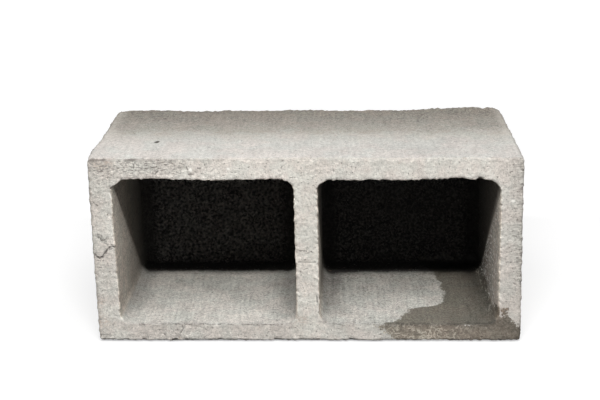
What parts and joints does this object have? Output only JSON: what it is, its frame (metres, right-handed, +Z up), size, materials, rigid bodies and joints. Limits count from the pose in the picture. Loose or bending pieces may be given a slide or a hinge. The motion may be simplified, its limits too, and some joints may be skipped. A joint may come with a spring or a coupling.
{
  "type": "hollow concrete block",
  "caption": "Hollow concrete building block lying on a face shell, with tapered rounded cells that open at the front bed and are closed at the other.",
  "frame": {"origin": "on the floor, under the middle of the block as it lies on its lower face shell", "axes": "+X along the block's length, +Y from the open bed to the closed bed, +Z up, from the lower face shell to the upper"},
  "size_m": [0.4, 0.19, 0.18],
  "materials": {
    "concrete": "matte"
  },
  "bodies": {
    "root": {"concrete_block": "concrete"}
  },
  "joints": []
}
